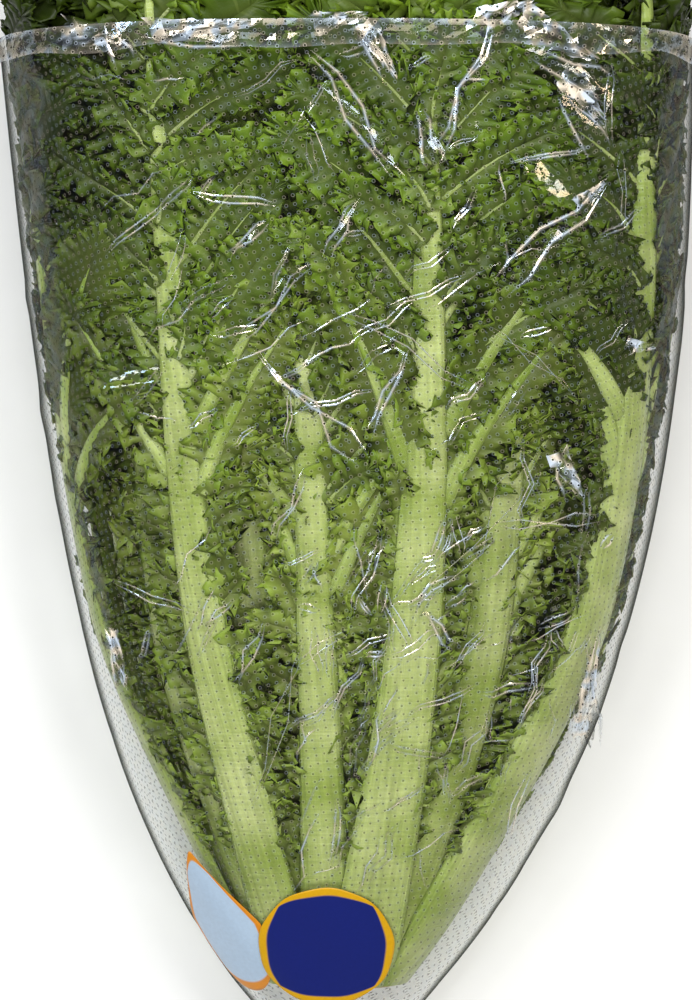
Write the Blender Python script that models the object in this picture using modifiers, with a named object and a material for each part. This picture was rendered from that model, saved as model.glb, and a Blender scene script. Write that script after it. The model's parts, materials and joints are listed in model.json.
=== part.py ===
# A head of curly endive lying on its side in a clear film sleeve, with two blank labels.
# +Y runs from the cut butt to the leaf tips, +Z is up, and the head rests on z = 0.
# Every piece is placed by its station along the head (0 at the butt, 1 at the tips), its turn
# round the head (0 at +X, a quarter turn at the top) and its share of the way out to the skin.

import math

import bmesh
import bpy

# Driving dimensions, in metres.
HEAD_LENGTH = 0.337
HEAD_START = (-0.0025, -0.1608)  # x and y of the middle of the butt
BUTT_HALF_WIDTH, WIDTH_FLARE = 0.024, 0.077
BUTT_HALF_HEIGHT, HEIGHT_FLARE = 0.020, 0.043
WIDTH_RATE, HEIGHT_RATE = 0.30, 0.50  # stations over which the flare dies away
LEAN = 0.006  # the head bows this far to +X at its middle
SQUARENESS = 2.4  # 2 is an ellipse, more is boxier
UNDER_LEAVES = 0.0012  # height of the lowest leaf over the surface

# The leaves grow in rings, the first one outermost.
RING_NAMES = ("outer", "second", "third", "fourth", "inner", "heart")
RING_COUNTS = (8, 8, 8, 8, 7, 6)
RING_OUT, RING_STEP = 0.92, 0.155
RING_TURN = math.radians(32.0)
RING_STAGGER = math.radians(22.5)
RING_TIPS = (0.93, 0.97, 0.93, 0.86, 0.78, 0.68)  # stations where the leaves end
BLADE_STARTS = (0.42, 0.33, 0.27, 0.23, 0.19, 0.16)  # stations where the curly blades begin
FIRST_PALE_RING = 4  # the rings from here in are yellower
LEAF_FILL = 0.62  # share of the room between two rings that a leaf fills
LEAF_ACROSS, LEAF_ALONG = 4, 11  # faces across and along a leaf
RIB_HALF_WIDTHS = (0.0085, 0.0045)  # at the butt and at the tip
SIDE_GAP = 0.0008  # between neighbours in a ring
BLADE_RISE = 0.22  # stations over which a blade spreads to its full width
TIP_SHARE = 0.40  # share of a leaf's length over which its end rounds off
TIP_NARROWING = 0.86  # the tip keeps the square root of 1 less this, as a share of its width
TIP_STAGGER, STAGGER_TURN = 0.03, 2.4  # neighbours end up to this many stations apart

BUTT_OUT, BUTT_LENGTH = 0.84, 0.13  # the butt is a cone that the leaves grow from
BUTT_STATIONS = (-0.004, 0.01, 0.03, 0.06, 0.09, 0.118)
BUTT_ROOM = 0.078  # share of the way out that parts a leaf's start from the butt
BUTT_SEGMENTS = 24

FILM_THICKNESS = 0.0004
FILM_MOUTH, FILM_END = 0.861, -0.046  # stations of the sleeve's wide mouth and narrow end
FILM_SIDE_SLACK, FILM_TOP_SLACK, FILM_UNDER_SLACK = 0.009, 0.0012, 0.0030
FILM_SEGMENTS, FILM_RINGS = 40, 14
PATCH_RINGS = (4, 12)  # the sleeve lies flat on the surface from one of its rings to another
PATCH_SEGMENTS = 2  # to each side of its lowest line
PATCH_HALF_WIDTHS = (0.020, 0.034)  # of the flat patch at its two ends
PATCH_WAIST = 0.0006  # the patch's sides draw in this far at their middle
FILM_LIFT = 0.0004  # the rest of the sleeve stays at least this far over the surface
FILM_CROWDING = 1.6  # over 1 puts the film's rings closer together near its narrow end

LABEL_THICKNESS, LABEL_GAP = 0.0003, 0.0004
LABEL_FACES = 8
ROUND_LABEL = {"station": 0.041, "turn": 1.67, "half_sizes": (0.0205, 0.0190), "point": 0.0}
SLIM_LABEL = {"station": 0.062, "turn": 2.42, "half_sizes": (0.0085, 0.0200), "point": 0.55}

# Colour and roughness.
FINISHES = {
    "leaf": ((0.12, 0.20, 0.035), 0.55),
    "heart": ((0.38, 0.48, 0.09), 0.55),
    "butt": ((0.62, 0.58, 0.36), 0.70),
    "film": ((0.90, 0.93, 0.93), 0.08),
    "round_label": ((0.02, 0.04, 0.25), 0.35),
    "slim_label": ((0.75, 0.80, 0.86), 0.40),
}
FILM_ALPHA = 0.3


def clear_scene():
    for item in list(bpy.data.objects):
        bpy.data.objects.remove(item)


def get_material(name):
    made = bpy.data.materials.get(name)
    if made is None:
        colour, roughness = FINISHES[name]
        made = bpy.data.materials.new(name)
        made.use_nodes = True
        shader = made.node_tree.nodes["Principled BSDF"]
        shader.inputs["Base Color"].default_value = (*colour, 1.0)
        shader.inputs["Roughness"].default_value = roughness
        shader.inputs["Alpha"].default_value = FILM_ALPHA if name == "film" else 1.0
    return made


def smooth_step(low, high, value):
    share = min(1.0, max(0.0, (value - low) / (high - low)))
    return share * share * (3.0 - 2.0 * share)


def half_sizes(station):
    """Half the head's width and height at a station."""
    wide = BUTT_HALF_WIDTH + WIDTH_FLARE * (1.0 - math.exp(-station / WIDTH_RATE))
    high = BUTT_HALF_HEIGHT + HEIGHT_FLARE * (1.0 - math.exp(-station / HEIGHT_RATE))
    return wide, high


def centre(station):
    """The head's middle at a station. Its underside stays level, so its middle rises."""
    x = HEAD_START[0] + LEAN * math.sin(math.pi * min(max(station, 0.0), 1.0))
    y = HEAD_START[1] + HEAD_LENGTH * station
    return x, y, UNDER_LEAVES + half_sizes(station)[1]


def on_unit_skin(turn):
    """The unit skin's point at a turn: a circle made a little squarer."""
    across, up = math.cos(turn), math.sin(turn)
    reach = (abs(across) ** SQUARENESS + abs(up) ** SQUARENESS) ** (-1.0 / SQUARENESS)
    return across * reach, up * reach


def in_head(station, turn, out):
    x, y, z = centre(station)
    wide, high = half_sizes(station)
    across, up = on_unit_skin(turn)
    return x + wide * out * across, y, z + high * out * up


def on_film(station, turn, proud=0.0):
    """A point of the sleeve's outer side, before the surface presses it flat."""
    x, y, z = centre(station)
    wide, high = half_sizes(station)
    across, up = on_unit_skin(turn)
    slack = FILM_TOP_SLACK if up > 0.0 else FILM_UNDER_SLACK
    x += (wide + FILM_SIDE_SLACK + proud) * across
    z += (high + slack + proud) * up
    return x, y, max(FILM_LIFT, z)


def film_station(ring):
    return FILM_END + (FILM_MOUTH - FILM_END) * (ring / FILM_RINGS) ** FILM_CROWDING


def on_resting_film(station, turn):
    """The same, with the straight-sided patch that the head's weight presses onto the surface."""
    first, last = (film_station(ring) for ring in PATCH_RINGS)
    offset = (turn + math.pi / 2.0) * FILM_SEGMENTS / (2.0 * math.pi * PATCH_SEGMENTS)
    share = (station - first) / (last - first)
    tolerance = 1e-4
    if abs(offset) > 1.0 + tolerance or not -tolerance < share < 1.0 + tolerance:
        return on_film(station, turn)
    half = PATCH_HALF_WIDTHS[0] + (PATCH_HALF_WIDTHS[1] - PATCH_HALF_WIDTHS[0]) * share
    half -= PATCH_WAIST * math.sin(math.pi * min(max(share, 0.0), 1.0))
    return half * offset, centre(station)[1], 0.0


def metres_per_turn(place, station, turn):
    """How far a placed point moves for each radian of turn."""
    step = 0.01
    return math.dist(place(station, turn - step), place(station, turn + step)) / (2.0 * step)


def finish_mesh(bm, name, finish, collection):
    bmesh.ops.recalc_face_normals(bm, faces=bm.faces)
    mesh = bpy.data.meshes.new(name)
    bm.to_mesh(mesh)
    bm.free()
    mesh.materials.append(get_material(finish))
    made = bpy.data.objects.new(name, mesh)
    collection.objects.link(made)
    return made


def add_thickness(item, thickness, side):
    solid = item.modifiers.new("Thickness", "SOLIDIFY")
    solid.thickness = thickness
    solid.offset = side
    return solid


def leaf_half_width(station, start, end, blade_start, sector):
    """Half a leaf's width: its rib low down, a blade that fills its sector, then a round tip."""
    along = (station - start) / (end - start)
    rib = RIB_HALF_WIDTHS[0] + (RIB_HALF_WIDTHS[1] - RIB_HALF_WIDTHS[0]) * along
    blade = sector * smooth_step(blade_start, blade_start + BLADE_RISE, station)
    into_tip = max(0.0, (along - 1.0 + TIP_SHARE) / TIP_SHARE)
    rounding = math.sqrt(1.0 - TIP_NARROWING * into_tip * into_tip)
    return min(max(rib, blade), sector) * rounding


def add_leaf(name, ring, index, collection):
    """A grid laid along the leaf's middle and thickened, thinner towards the butt."""
    out = RING_OUT - RING_STEP * ring
    turn = RING_TURN + RING_STAGGER * ring + 2.0 * math.pi * index / RING_COUNTS[ring]
    start = max(0.0, BUTT_LENGTH * (1.0 - (out - BUTT_ROOM) / BUTT_OUT))
    end = RING_TIPS[ring] + TIP_STAGGER * math.cos(STAGGER_TURN * index)

    def middle(station, at_turn):
        return in_head(station, at_turn, out)

    bm = bmesh.new()
    bmesh.ops.create_grid(bm, x_segments=LEAF_ACROSS, y_segments=LEAF_ALONG, size=1.0)
    thickness = bm.verts.layers.deform.verify()
    for vert in bm.verts:
        side = vert.co.x
        station = start + (end - start) * (vert.co.y + 1.0) / 2.0
        rate = metres_per_turn(middle, station, turn)
        sector = rate * math.pi / RING_COUNTS[ring] - SIDE_GAP
        half = leaf_half_width(station, start, end, BLADE_STARTS[ring], sector)
        vert.co = middle(station, turn - side * half / rate)
        vert[thickness][0] = half_sizes(station)[1] / half_sizes(1.0)[1]
    finish = "heart" if ring >= FIRST_PALE_RING else "leaf"
    leaf = finish_mesh(bm, name, finish, collection)
    group = leaf.vertex_groups.new(name="thickness")
    solid = add_thickness(leaf, LEAF_FILL * RING_STEP * half_sizes(1.0)[1], 0.0)
    solid.vertex_group = group.name
    return leaf


def add_tube(name, stations, segments, place, finish, collection, capped):
    """A grid wrapped round the head through a ring of points at each station."""
    bm = bmesh.new()
    last = len(stations) - 1
    bmesh.ops.create_grid(bm, x_segments=segments, y_segments=last, size=1.0)
    for vert in bm.verts:
        station = stations[round((vert.co.y + 1.0) / 2.0 * last)]
        vert.co = place(station, math.pi * vert.co.x)
    bmesh.ops.remove_doubles(bm, verts=bm.verts, dist=1e-6)
    if capped:
        rims = [edge for edge in bm.edges if edge.is_boundary]
        bmesh.ops.holes_fill(bm, edges=rims)
    return finish_mesh(bm, name, finish, collection)


def add_butt(collection):
    """The short stem: a cone with its cut face at the butt end."""
    def place(station, turn):
        return in_head(station, turn, BUTT_OUT * (1.0 - max(station, 0.0) / BUTT_LENGTH))

    return add_tube("butt", BUTT_STATIONS, BUTT_SEGMENTS, place, "butt", collection, True)


def add_sleeve(collection):
    stations = [film_station(ring) for ring in range(FILM_RINGS + 1)]
    name = "film_sleeve"
    sleeve = add_tube(name, stations, FILM_SEGMENTS, on_resting_film, "film", collection, False)
    add_thickness(sleeve, FILM_THICKNESS, -1.0)
    return sleeve


def add_label(name, plan, collection):
    """A thin sticker on the film: a grid rounded to a disc, and drawn in towards its point."""
    bm = bmesh.new()
    bmesh.ops.create_grid(bm, x_segments=LABEL_FACES, y_segments=LABEL_FACES, size=1.0)
    rate = metres_per_turn(on_film, plan["station"], plan["turn"])
    for vert in bm.verts:
        flat_x, flat_y = vert.co.x, vert.co.y
        across = flat_x * math.sqrt(1.0 - flat_y * flat_y / 2.0)
        along = flat_y * math.sqrt(1.0 - flat_x * flat_x / 2.0)
        across *= 1.0 - plan["point"] * max(0.0, along)
        turn = plan["turn"] - across * plan["half_sizes"][0] / rate
        station = plan["station"] + along * plan["half_sizes"][1] / HEAD_LENGTH
        vert.co = on_film(station, turn, LABEL_GAP)
    label = finish_mesh(bm, name, name, collection)
    add_thickness(label, LABEL_THICKNESS, 1.0)
    return label


def build():
    clear_scene()
    collection = bpy.data.collections.new("curly_endive_head")
    bpy.context.scene.collection.children.link(collection)
    add_butt(collection)
    for ring, ring_name in enumerate(RING_NAMES):
        for index in range(RING_COUNTS[ring]):
            add_leaf(f"{ring_name}_leaf_{index + 1}", ring, index, collection)
    add_sleeve(collection)
    add_label("round_label", ROUND_LABEL, collection)
    add_label("slim_label", SLIM_LABEL, collection)


build()
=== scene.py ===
# Curly endive head in a clear perforated film sleeve, lying on a pale surface and seen from above.
# The head is laid out as in its CAD: a station along it (0 butt, 1 tips), a turn round it and a share out.

import json
import math

import bmesh
import bpy
import numpy as np
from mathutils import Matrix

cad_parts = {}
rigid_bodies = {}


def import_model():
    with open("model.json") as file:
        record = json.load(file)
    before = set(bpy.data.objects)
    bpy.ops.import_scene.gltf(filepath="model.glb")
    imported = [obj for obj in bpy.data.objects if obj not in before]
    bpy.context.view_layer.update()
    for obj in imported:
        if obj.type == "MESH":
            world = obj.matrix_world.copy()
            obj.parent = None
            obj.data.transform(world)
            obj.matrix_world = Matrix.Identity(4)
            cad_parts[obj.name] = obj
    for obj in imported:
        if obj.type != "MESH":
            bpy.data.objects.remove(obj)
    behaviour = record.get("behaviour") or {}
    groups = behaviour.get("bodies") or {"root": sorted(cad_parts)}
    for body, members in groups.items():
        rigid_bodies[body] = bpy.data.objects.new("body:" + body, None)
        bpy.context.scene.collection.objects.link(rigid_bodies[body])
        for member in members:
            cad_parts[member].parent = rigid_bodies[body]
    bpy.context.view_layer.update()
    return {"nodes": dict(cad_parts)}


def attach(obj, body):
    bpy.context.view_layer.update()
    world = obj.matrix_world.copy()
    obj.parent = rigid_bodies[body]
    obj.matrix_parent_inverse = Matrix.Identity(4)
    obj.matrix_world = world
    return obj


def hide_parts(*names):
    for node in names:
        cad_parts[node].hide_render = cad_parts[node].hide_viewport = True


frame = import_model()
print("frame loaded:", len(frame["nodes"]), "nodes")

head = {
    "length": 0.337,
    "startX": -0.0025, "startY": -0.1608,       # middle of the butt
    "buttWidth": 0.024, "widthFlare": 0.077, "widthRate": 0.30,
    "buttHeight": 0.020, "heightFlare": 0.043, "heightRate": 0.50,
    "lean": 0.006,                              # bows this far to +X at the middle
    "spread": 0.15, "spreadOver": (0.08, 0.35),   # the leaves press out against the sleeve's sides
    "pinch": 0.055,                             # and are held in a little at its widest
    "squareness": 2.4,
    "lowest": 0.0012, "rest": 0.0004,           # the lowest leaf, and the least height of anything on it
}

leafRings = [                                   # from the outside in, in stations, shares and metres
    {"name": "outer", "count": 8, "out": 0.920, "end": 0.93, "blade": 0.44,
     "ribHalf": 0.0102, "frill": 0.0016, "youth": 0.00, "ribShares": (1.05, 1.08, 0.80, 0.82, 1, 1, 1, 0.9),
     "frillShares": (2.0, 2.6, 3.6, 2.4, 1, 1, 1, 2)},
    {"name": "second", "count": 8, "out": 0.765, "end": 0.97, "blade": 0.34,
     "ribHalf": 0.0076, "frill": 0.0054, "youth": 0.15},
    {"name": "third", "count": 8, "out": 0.610, "end": 0.93, "blade": 0.27,
     "ribHalf": 0.0074, "frill": 0.0062, "youth": 0.35},
    {"name": "fourth", "count": 8, "out": 0.455, "end": 0.86, "blade": 0.23,
     "ribHalf": 0.0075, "frill": 0.0060, "youth": 0.55},
    {"name": "inner", "count": 7, "out": 0.300, "end": 0.78, "blade": 0.20,
     "ribHalf": 0.0060, "frill": 0.0040, "youth": 0.80},
    {"name": "heart", "count": 6, "out": 0.145, "end": 0.68, "blade": 0.18,
     "ribHalf": 0.0040, "frill": 0.0030, "youth": 1.00},
]
leafTurns = {"first": math.radians(32.0), "stagger": math.radians(22.5), "tipStagger": 0.03, "tipTurn": 2.4}

meshDetail = {                                  # column spacing, rows and lobe spacing (in stations)
    "fine": {"column": 0.00070, "rows": 4, "lobes": 0.052},
    "medium": {"column": 0.0011, "rows": 3, "lobes": 0.060},
    "coarse": {"column": 0.0027, "rows": 3, "lobes": 0.090},
}

frill = {
    "wave": 0.0046, "height": 0.0037,           # one curl along the margin, and how far it stands
    "fold": 0.42,                               # share of a wave that a curl leans over
    "tooth": 0.0025, "toothGap": (0.0014, 0.0030),   # pointed teeth, and the room from one to the next
    "cut": 0.0085, "cutDepth": 0.50,            # the blade is cut into small lobes this far apart
    "splay": math.radians(72.0),                # how far the blade turns away from its vein
    "crowding": 1.35, "row": 0.0022,            # rows crowd towards the curled margin
    "paleReach": 0.0028,                        # the pale strip along a vein
    "thickness": 0.00030,
}


def smoothStep(low, high, value):
    share = np.clip((value - low) / (high - low), 0.0, 1.0)
    return share * share * (3.0 - 2.0 * share)


def anyPhase(rng):
    return rng.uniform(0, 6.28)


def stacked(*parts):
    # one row for each point; a single value is the same for all of them
    return np.stack(np.broadcast_arrays(*parts), axis=-1)


def newLayers(bm):
    return {"tone": bm.verts.layers.float_color.new("tone"),
            "place": bm.verts.layers.float_vector.new("place")}


def halfSizes(station):
    wide = head["buttWidth"] + head["widthFlare"] * (1.0 - np.exp(-station / head["widthRate"]))
    high = head["buttHeight"] + head["heightFlare"] * (1.0 - np.exp(-station / head["heightRate"]))
    return wide, high


def unitSkin(turn):
    across, up = np.cos(turn), np.sin(turn)
    power = head["squareness"]
    reach = (np.abs(across) ** power + np.abs(up) ** power) ** (-1.0 / power)
    return across * reach, up * reach


def skinPoints(station, turn, out):
    wide, high = halfSizes(station)
    wide = wide * (1.0 + head["spread"] * smoothStep(*head["spreadOver"], station))
    across, up = unitSkin(turn)
    x = head["startX"] + head["lean"] * np.sin(np.pi * np.clip(station, 0.0, 1.0)) + wide * out * across
    y = head["startY"] + head["length"] * station
    z = head["lowest"] + high + high * out * up
    return stacked(x, y, np.maximum(z, head["rest"]))


def makeLeafSpace(turn, out, limit):
    # returns a function from (side, station, height) on the leaf to points in the head
    table = np.linspace(-0.03, 1.06, 60)
    ahead = skinPoints(table, np.full(60, turn + 0.02), out)
    behind = skinPoints(table, np.full(60, turn - 0.02), out)
    rates = np.linalg.norm(ahead - behind, axis=1) / 0.04

    def place(side, station, height):
        angle = turn - side / np.interp(station, table, rates)
        wide, high = halfSizes(station)
        across, up = unitSkin(angle)
        radius = np.hypot(wide * across, high * up)
        share = out + height / radius
        top = limit + 0.10 * smoothStep(0.86, 0.96, station) - head["pinch"] * np.abs(np.cos(angle)) ** 4
        soft = 0.06
        over = np.maximum(share - (top - soft), 0.0)
        share = np.minimum(share, top - soft) + soft * (1.0 - np.exp(-over / soft))
        return skinPoints(station, angle, np.maximum(share, 0.02))

    return place, lambda station: np.interp(station, table, rates)


def addPatch(bm, layers, columns, rows, shape, slot, smooth=True):
    # a grid whose points and tones come from shape(t, v), both from 0 to 1
    verts = bmesh.ops.create_grid(bm, x_segments=columns, y_segments=rows, size=1.0)["verts"]
    flat = np.array([vert.co[:2] for vert in verts])
    points, tones, places = shape((flat[:, 0] + 1.0) / 2.0, (flat[:, 1] + 1.0) / 2.0)
    for vert, point, tone, spot in zip(verts, points.tolist(), tones.tolist(), places.tolist()):
        vert.co = point
        vert[layers["tone"]] = tone
        vert[layers["place"]] = spot
    for face in {face for vert in verts for face in vert.link_faces}:
        face.material_index = slot
        face.smooth = smooth
    return verts


def toothLine(rng, metresLong, columns):
    # sharp irregular teeth along a margin, one value for each column
    spots = np.linspace(0.0, metresLong, columns + 1)
    line = np.zeros(columns + 1)
    at = 0.0
    while at < metresLong:
        gap = rng.uniform(*frill["toothGap"])
        size, lean = rng.uniform(0.35, 1.25), rng.uniform(0.25, 0.75)
        away = spots - at
        flank = np.where(away < 0.0, -away / (gap * lean), away / (gap * (1.0 - lean)))
        line = np.maximum(line, size * (1.0 - flank))
        at += gap
    return line


def curl(rng, metres, v, size):
    # how the margin's extra length folds: a shift along the vein and a height off the leaf
    wave = frill["wave"] * rng.uniform(0.75, 1.3)
    turns = 2.0 * np.pi * metres / wave
    phase = turns + anyPhase(rng) + 1.5 * np.sin(turns / 3.3 + anyPhase(rng))
    phase = phase + 0.8 * np.sin(turns / 1.7 + anyPhase(rng))
    phase = phase + 2.4 * v * np.sin(turns / 2.6 + anyPhase(rng))     # they twist on their way out
    swell = np.sin(turns / 2.3 + anyPhase(rng)) * np.sin(turns / 5.1 + anyPhase(rng))
    rise = frill["height"] * size * (0.8 + 0.5 * swell)
    height = rise * v ** 1.4 * np.sin(phase)
    height = height + 0.42 * rise * v ** 3 * np.sin(2.6 * phase + anyPhase(rng))
    shift = -frill["fold"] * wave * size * v ** 1.6 * np.sin(2.0 * phase)
    shift = shift + 0.0014 * v ** 3 * np.sin(1.9 * turns + anyPhase(rng))
    # crest is high on the curls' tops and low in their folds and near the vein; the blade material paints
    # shade by it
    crest = np.clip(0.62 + 0.5 * height / frill["height"] - 0.25 * (1.0 - v), 0.0, 1.0)
    return shift, height, crest


def addLobe(bm, layers, leaf, root, plan, detail, rng):
    # a side vein with one frill that runs up one side, round its tip and down the other
    place = leaf["place"]
    steps = np.linspace(0.0, 1.0, 24)
    heading = plan["sign"] * (plan["angle"] + plan["bend"] * steps)
    run = plan["length"] / 23.0
    sideLine = root[0] + np.concatenate([[0.0], np.cumsum(np.sin(heading[1:]))]) * run
    alongLine = np.concatenate([[0.0], np.cumsum(np.cos(heading[1:]))]) * run
    heightLine = plan["low"] + plan["lift"] * steps ** 1.6
    heightLine = heightLine + 0.0012 * np.sin(5.0 * steps + anyPhase(rng)) * steps

    around = 2.0 * plan["length"] + 2.5 * plan["width"]
    columns = max(10, int(around / detail["column"]))
    turnIn = plan["length"] / around
    teeth = toothLine(rng, around, columns)
    state = rng.bit_generator.state

    def frillShape(t, v):
        rng.bit_generator.state = state
        v = 1.0 - (1.0 - v) ** frill["crowding"]
        q = np.clip(np.minimum(t, 1.0 - t) / turnIn, 0.0, 1.0)
        swing = 1.0 - 2.0 * smoothStep(turnIn * 0.72, 1.0 - turnIn * 0.72, t)
        facing = np.interp(q, steps, heading) + frill["splay"] * swing
        outline = 0.30 + 0.70 * np.sin(np.pi * (0.12 + 0.62 * q)) ** 1.2
        width = plan["width"] * outline
        metres = t * around
        shift, height, crest = curl(rng, metres, v ** plan["smooth"], plan["curl"])
        notch = np.sin(np.pi * metres / (frill["cut"] * plan["cutGap"]) + plan["shade"] * 6.0)
        cuts = 1.0 - np.abs(notch) ** 0.7
        deep = frill["cutDepth"] * cuts * smoothStep(0.25, 0.8, v) * smoothStep(0.1, 0.3, q)
        width = width * (1.0 - deep)
        tooth = np.interp(t * columns, np.arange(columns + 1), teeth) * frill["tooth"] * v ** 3
        reach = width * v * (1.0 - 0.12 * v) + tooth
        side = np.interp(q, steps, sideLine) + np.sin(facing) * reach + np.cos(facing) * shift * swing
        along = np.interp(q, steps, alongLine) + np.cos(facing) * reach - np.sin(facing) * shift * swing
        lifted = np.interp(q, steps, heightLine) + height
        lifted = lifted + plan["roll"] * swing * (v * width / 0.008) ** 1.5 + plan["cup"] * v * v
        lifted = lifted + 0.0015 * v * np.sin(metres * 330.0 + plan["shade"] * 9.0 + 2.0 * v)
        station = root[1] + along / head["length"]
        pale = np.exp(-v * width / frill["paleReach"]) * (1.0 - 0.6 * q)
        tones = stacked(pale, plan["youth"], plan["shade"], v)
        return place(side, station, lifted), tones, stacked(metres, v * width, crest)

    rows = max(detail["rows"], int(plan["width"] / frill["row"])) if detail["rows"] > 3 else 3
    addPatch(bm, layers, columns, rows, frillShape, 0)

    def veinShape(t, v):
        angle = 2.0 * np.pi * t
        half = plan["vein"] * (1.0 - 0.90 * v ** 0.8)
        capped = np.where((v < 1e-6) | (v > 1.0 - 1e-6), 0.0, 1.0)
        side = np.interp(v, steps, sideLine)
        turned = np.interp(v, steps, heading)
        beside = half * np.cos(angle) * capped
        station = root[1] + (np.interp(v, steps, alongLine) - np.sin(turned) * beside) / head["length"]
        side = side + np.cos(turned) * beside
        lifted = np.interp(v, steps, heightLine) + 0.55 * half * np.sin(angle) * capped
        green = 0.25 + 0.75 * v
        tones = stacked(1.0 - green, plan["youth"], plan["shade"], v)
        spots = stacked(angle * half, v * plan["length"], plan["shade"])
        return place(side, station, lifted), tones, spots

    leaf["veins"].append((veinShape, 8, 12))


leaflet = {
    "spacing": 0.024, "astray": 0.008,          # stations from one to the next, and how far it strays
    "length": 0.0105, "width": 0.0050, "vein": 0.0006,
    "column": 0.0009, "rows": 3,
    "least": 0.003,                             # leaves with less frill than this have none
}


def addLeaflets(bm, layers, leaf, sign, rng):
    # small bright leaflets, like parsley, along the fleshy part of the rib
    size = min(leaf["frill"] / 0.006, 1.1)
    for station in np.arange(leaf["frillStart"] + 0.01, leaf["blade"] + 0.02, leaflet["spacing"]):
        station = station + rng.uniform(-leaflet["astray"], leaflet["astray"])
        growth = size * (0.55 + 0.45 * smoothStep(leaf["frillStart"], leaf["frillStart"] + 0.1, station))
        plan = {
            "sign": sign,
            "angle": math.radians(rng.uniform(25, 60)), "bend": math.radians(rng.uniform(-20, 50)),
            "length": leaflet["length"] * growth * rng.uniform(0.6, 1.3),
            "width": leaflet["width"] * growth * rng.uniform(0.8, 1.2),
            "low": float(leaf["ribRise"](station)), "lift": rng.uniform(-0.001, 0.005),
            "roll": rng.uniform(-0.003, 0.003), "cup": rng.uniform(-0.001, 0.003), "smooth": 1.0,
            "curl": rng.uniform(0.6, 0.9), "cutGap": rng.uniform(0.5, 0.8), "vein": leaflet["vein"],
            "youth": min(1.0, leaf["youth"] + 0.45), "shade": rng.uniform(0.1, 1),
        }
        rootSide = float(leaf["wander"](station)) + sign * float(leaf["ribAt"](station)) * 0.85
        addLobe(bm, layers, leaf, (rootSide, station), plan, leaflet, rng)


def addRibFrill(bm, layers, leaf, sign, detail, rng):
    # a narrow frill along the rib's edge, from low on the leaf up to its end
    place, first, last = leaf["place"], leaf["frillStart"], leaf["end"] - 0.02
    metresLong = (last - first) * head["length"]
    columns = max(12, int(metresLong / detail["column"]))
    teeth = toothLine(rng, metresLong, columns)
    state = rng.bit_generator.state

    def shape(t, v):
        rng.bit_generator.state = state
        station = first + (last - first) * t
        width = 0.0009 + 0.0048 * smoothStep(leaf["blade"] - 0.10, leaf["blade"] + 0.05, station)
        patchy = np.sin(station * 31.0 + anyPhase(rng)) * np.sin(station * 77.0 + anyPhase(rng))
        notch = np.abs(np.sin(t * metresLong * 560.0 + 2.5 * np.sin(station * 83.0) + leaf["shade"] * 6.0))
        width = width * (0.85 + 0.55 * patchy) * (0.35 + 0.85 * notch ** 0.8)
        shift, height, crest = curl(rng, t * metresLong, v, 0.42 + 0.3 * smoothStep(0.2, 0.5, station))
        tooth = np.interp(t * columns, np.arange(columns + 1), teeth)
        tooth = tooth * np.minimum(frill["tooth"], width) * v ** 3
        side = leaf["wander"](station) + sign * (leaf["ribAt"](station) * 0.92 + width * v + tooth)
        low = smoothStep(0.55, 0.30, station)
        lifted = leaf["ribRise"](station) - 0.0006 + height
        pale = np.exp(-v * width / 0.002) * (1.0 - 0.5 * smoothStep(0.5, 0.9, station))
        youth = np.clip(leaf["youth"] + 0.5 * smoothStep(0.58, 0.25, station), 0.0, 1.0)
        tones = stacked(pale, youth, leaf["shade"], v)
        # raising the crest low on the leaf paints less shade into the frill there
        spots = stacked(t * metresLong, v * width, crest + (1.0 - crest) * 0.6 * low)
        return place(side, station + shift / head["length"], lifted), tones, spots

    addPatch(bm, layers, columns, max(2, detail["rows"] - 1), shape, 0)


def addRib(bm, layers, leaf, fine):
    place, first, last = leaf["place"], leaf["start"], leaf["end"]

    def shape(t, v):
        angle = 2.0 * np.pi * t
        capped = np.where((v < 1e-6) | (v > 1.0 - 1e-6), 0.0, 1.0)
        share = np.clip((v - 0.008) / 0.984, 0.0, 1.0)         # the end rows close the ends
        station = first + (last - first) * share
        half = leaf["ribAt"](station) * capped
        ridges = 1.0 + 0.035 * np.cos(9.0 * angle + leaf["shade"] * 6.0)
        side = leaf["wander"](station) + half * np.cos(angle) * ridges
        bulge = np.where(np.sin(angle) > 0.0, 0.62, 0.34)
        thick = bulge * np.sign(np.sin(angle)) * np.abs(np.sin(angle)) ** 0.85
        lifted = leaf["ribRise"](station) + thick * half * ridges
        # paler along the rib's middle and greener at its edges, partly its own colour and partly painted
        # shade where it turns away
        pale = (1.0 - 0.75 * smoothStep(0.45, 0.95, station)) * (1.0 - 0.5 * np.abs(np.cos(angle)) ** 4)
        tones = stacked(pale, leaf["youth"], leaf["shade"], share)
        spots = stacked(angle * leaf["ribAt"](station), station * head["length"], leaf["shade"])
        return place(side, station, lifted), tones, spots

    around, along = (24, 110) if fine else (12, 50)
    addTube(bm, layers, around, along, shape)
    for veinShape, veinAround, veinAlong in leaf["veins"]:
        addTube(bm, layers, veinAround if fine else 6, veinAlong if fine else 6, veinShape)


def addTube(bm, layers, around, along, shape):
    verts = addPatch(bm, layers, around, along, shape, 1)
    bmesh.ops.remove_doubles(bm, verts=verts, dist=2e-6)


lobes = {
    "astray": 0.008,                            # how far a lobe strays from its station
    "broadShare": 0.22, "broad": 0.0125, "narrow": 0.0078,
    "least": 0.016, "most": 0.052,              # lengths
    "forked": 1.6,                              # lobe spacings over which the side ribs are fleshy
    "fade": 0.14,                               # stations over which the rib is covered from its edges
    "coverShare": 0.74,                         # spacing of the lobes that cover the rib
}


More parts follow.
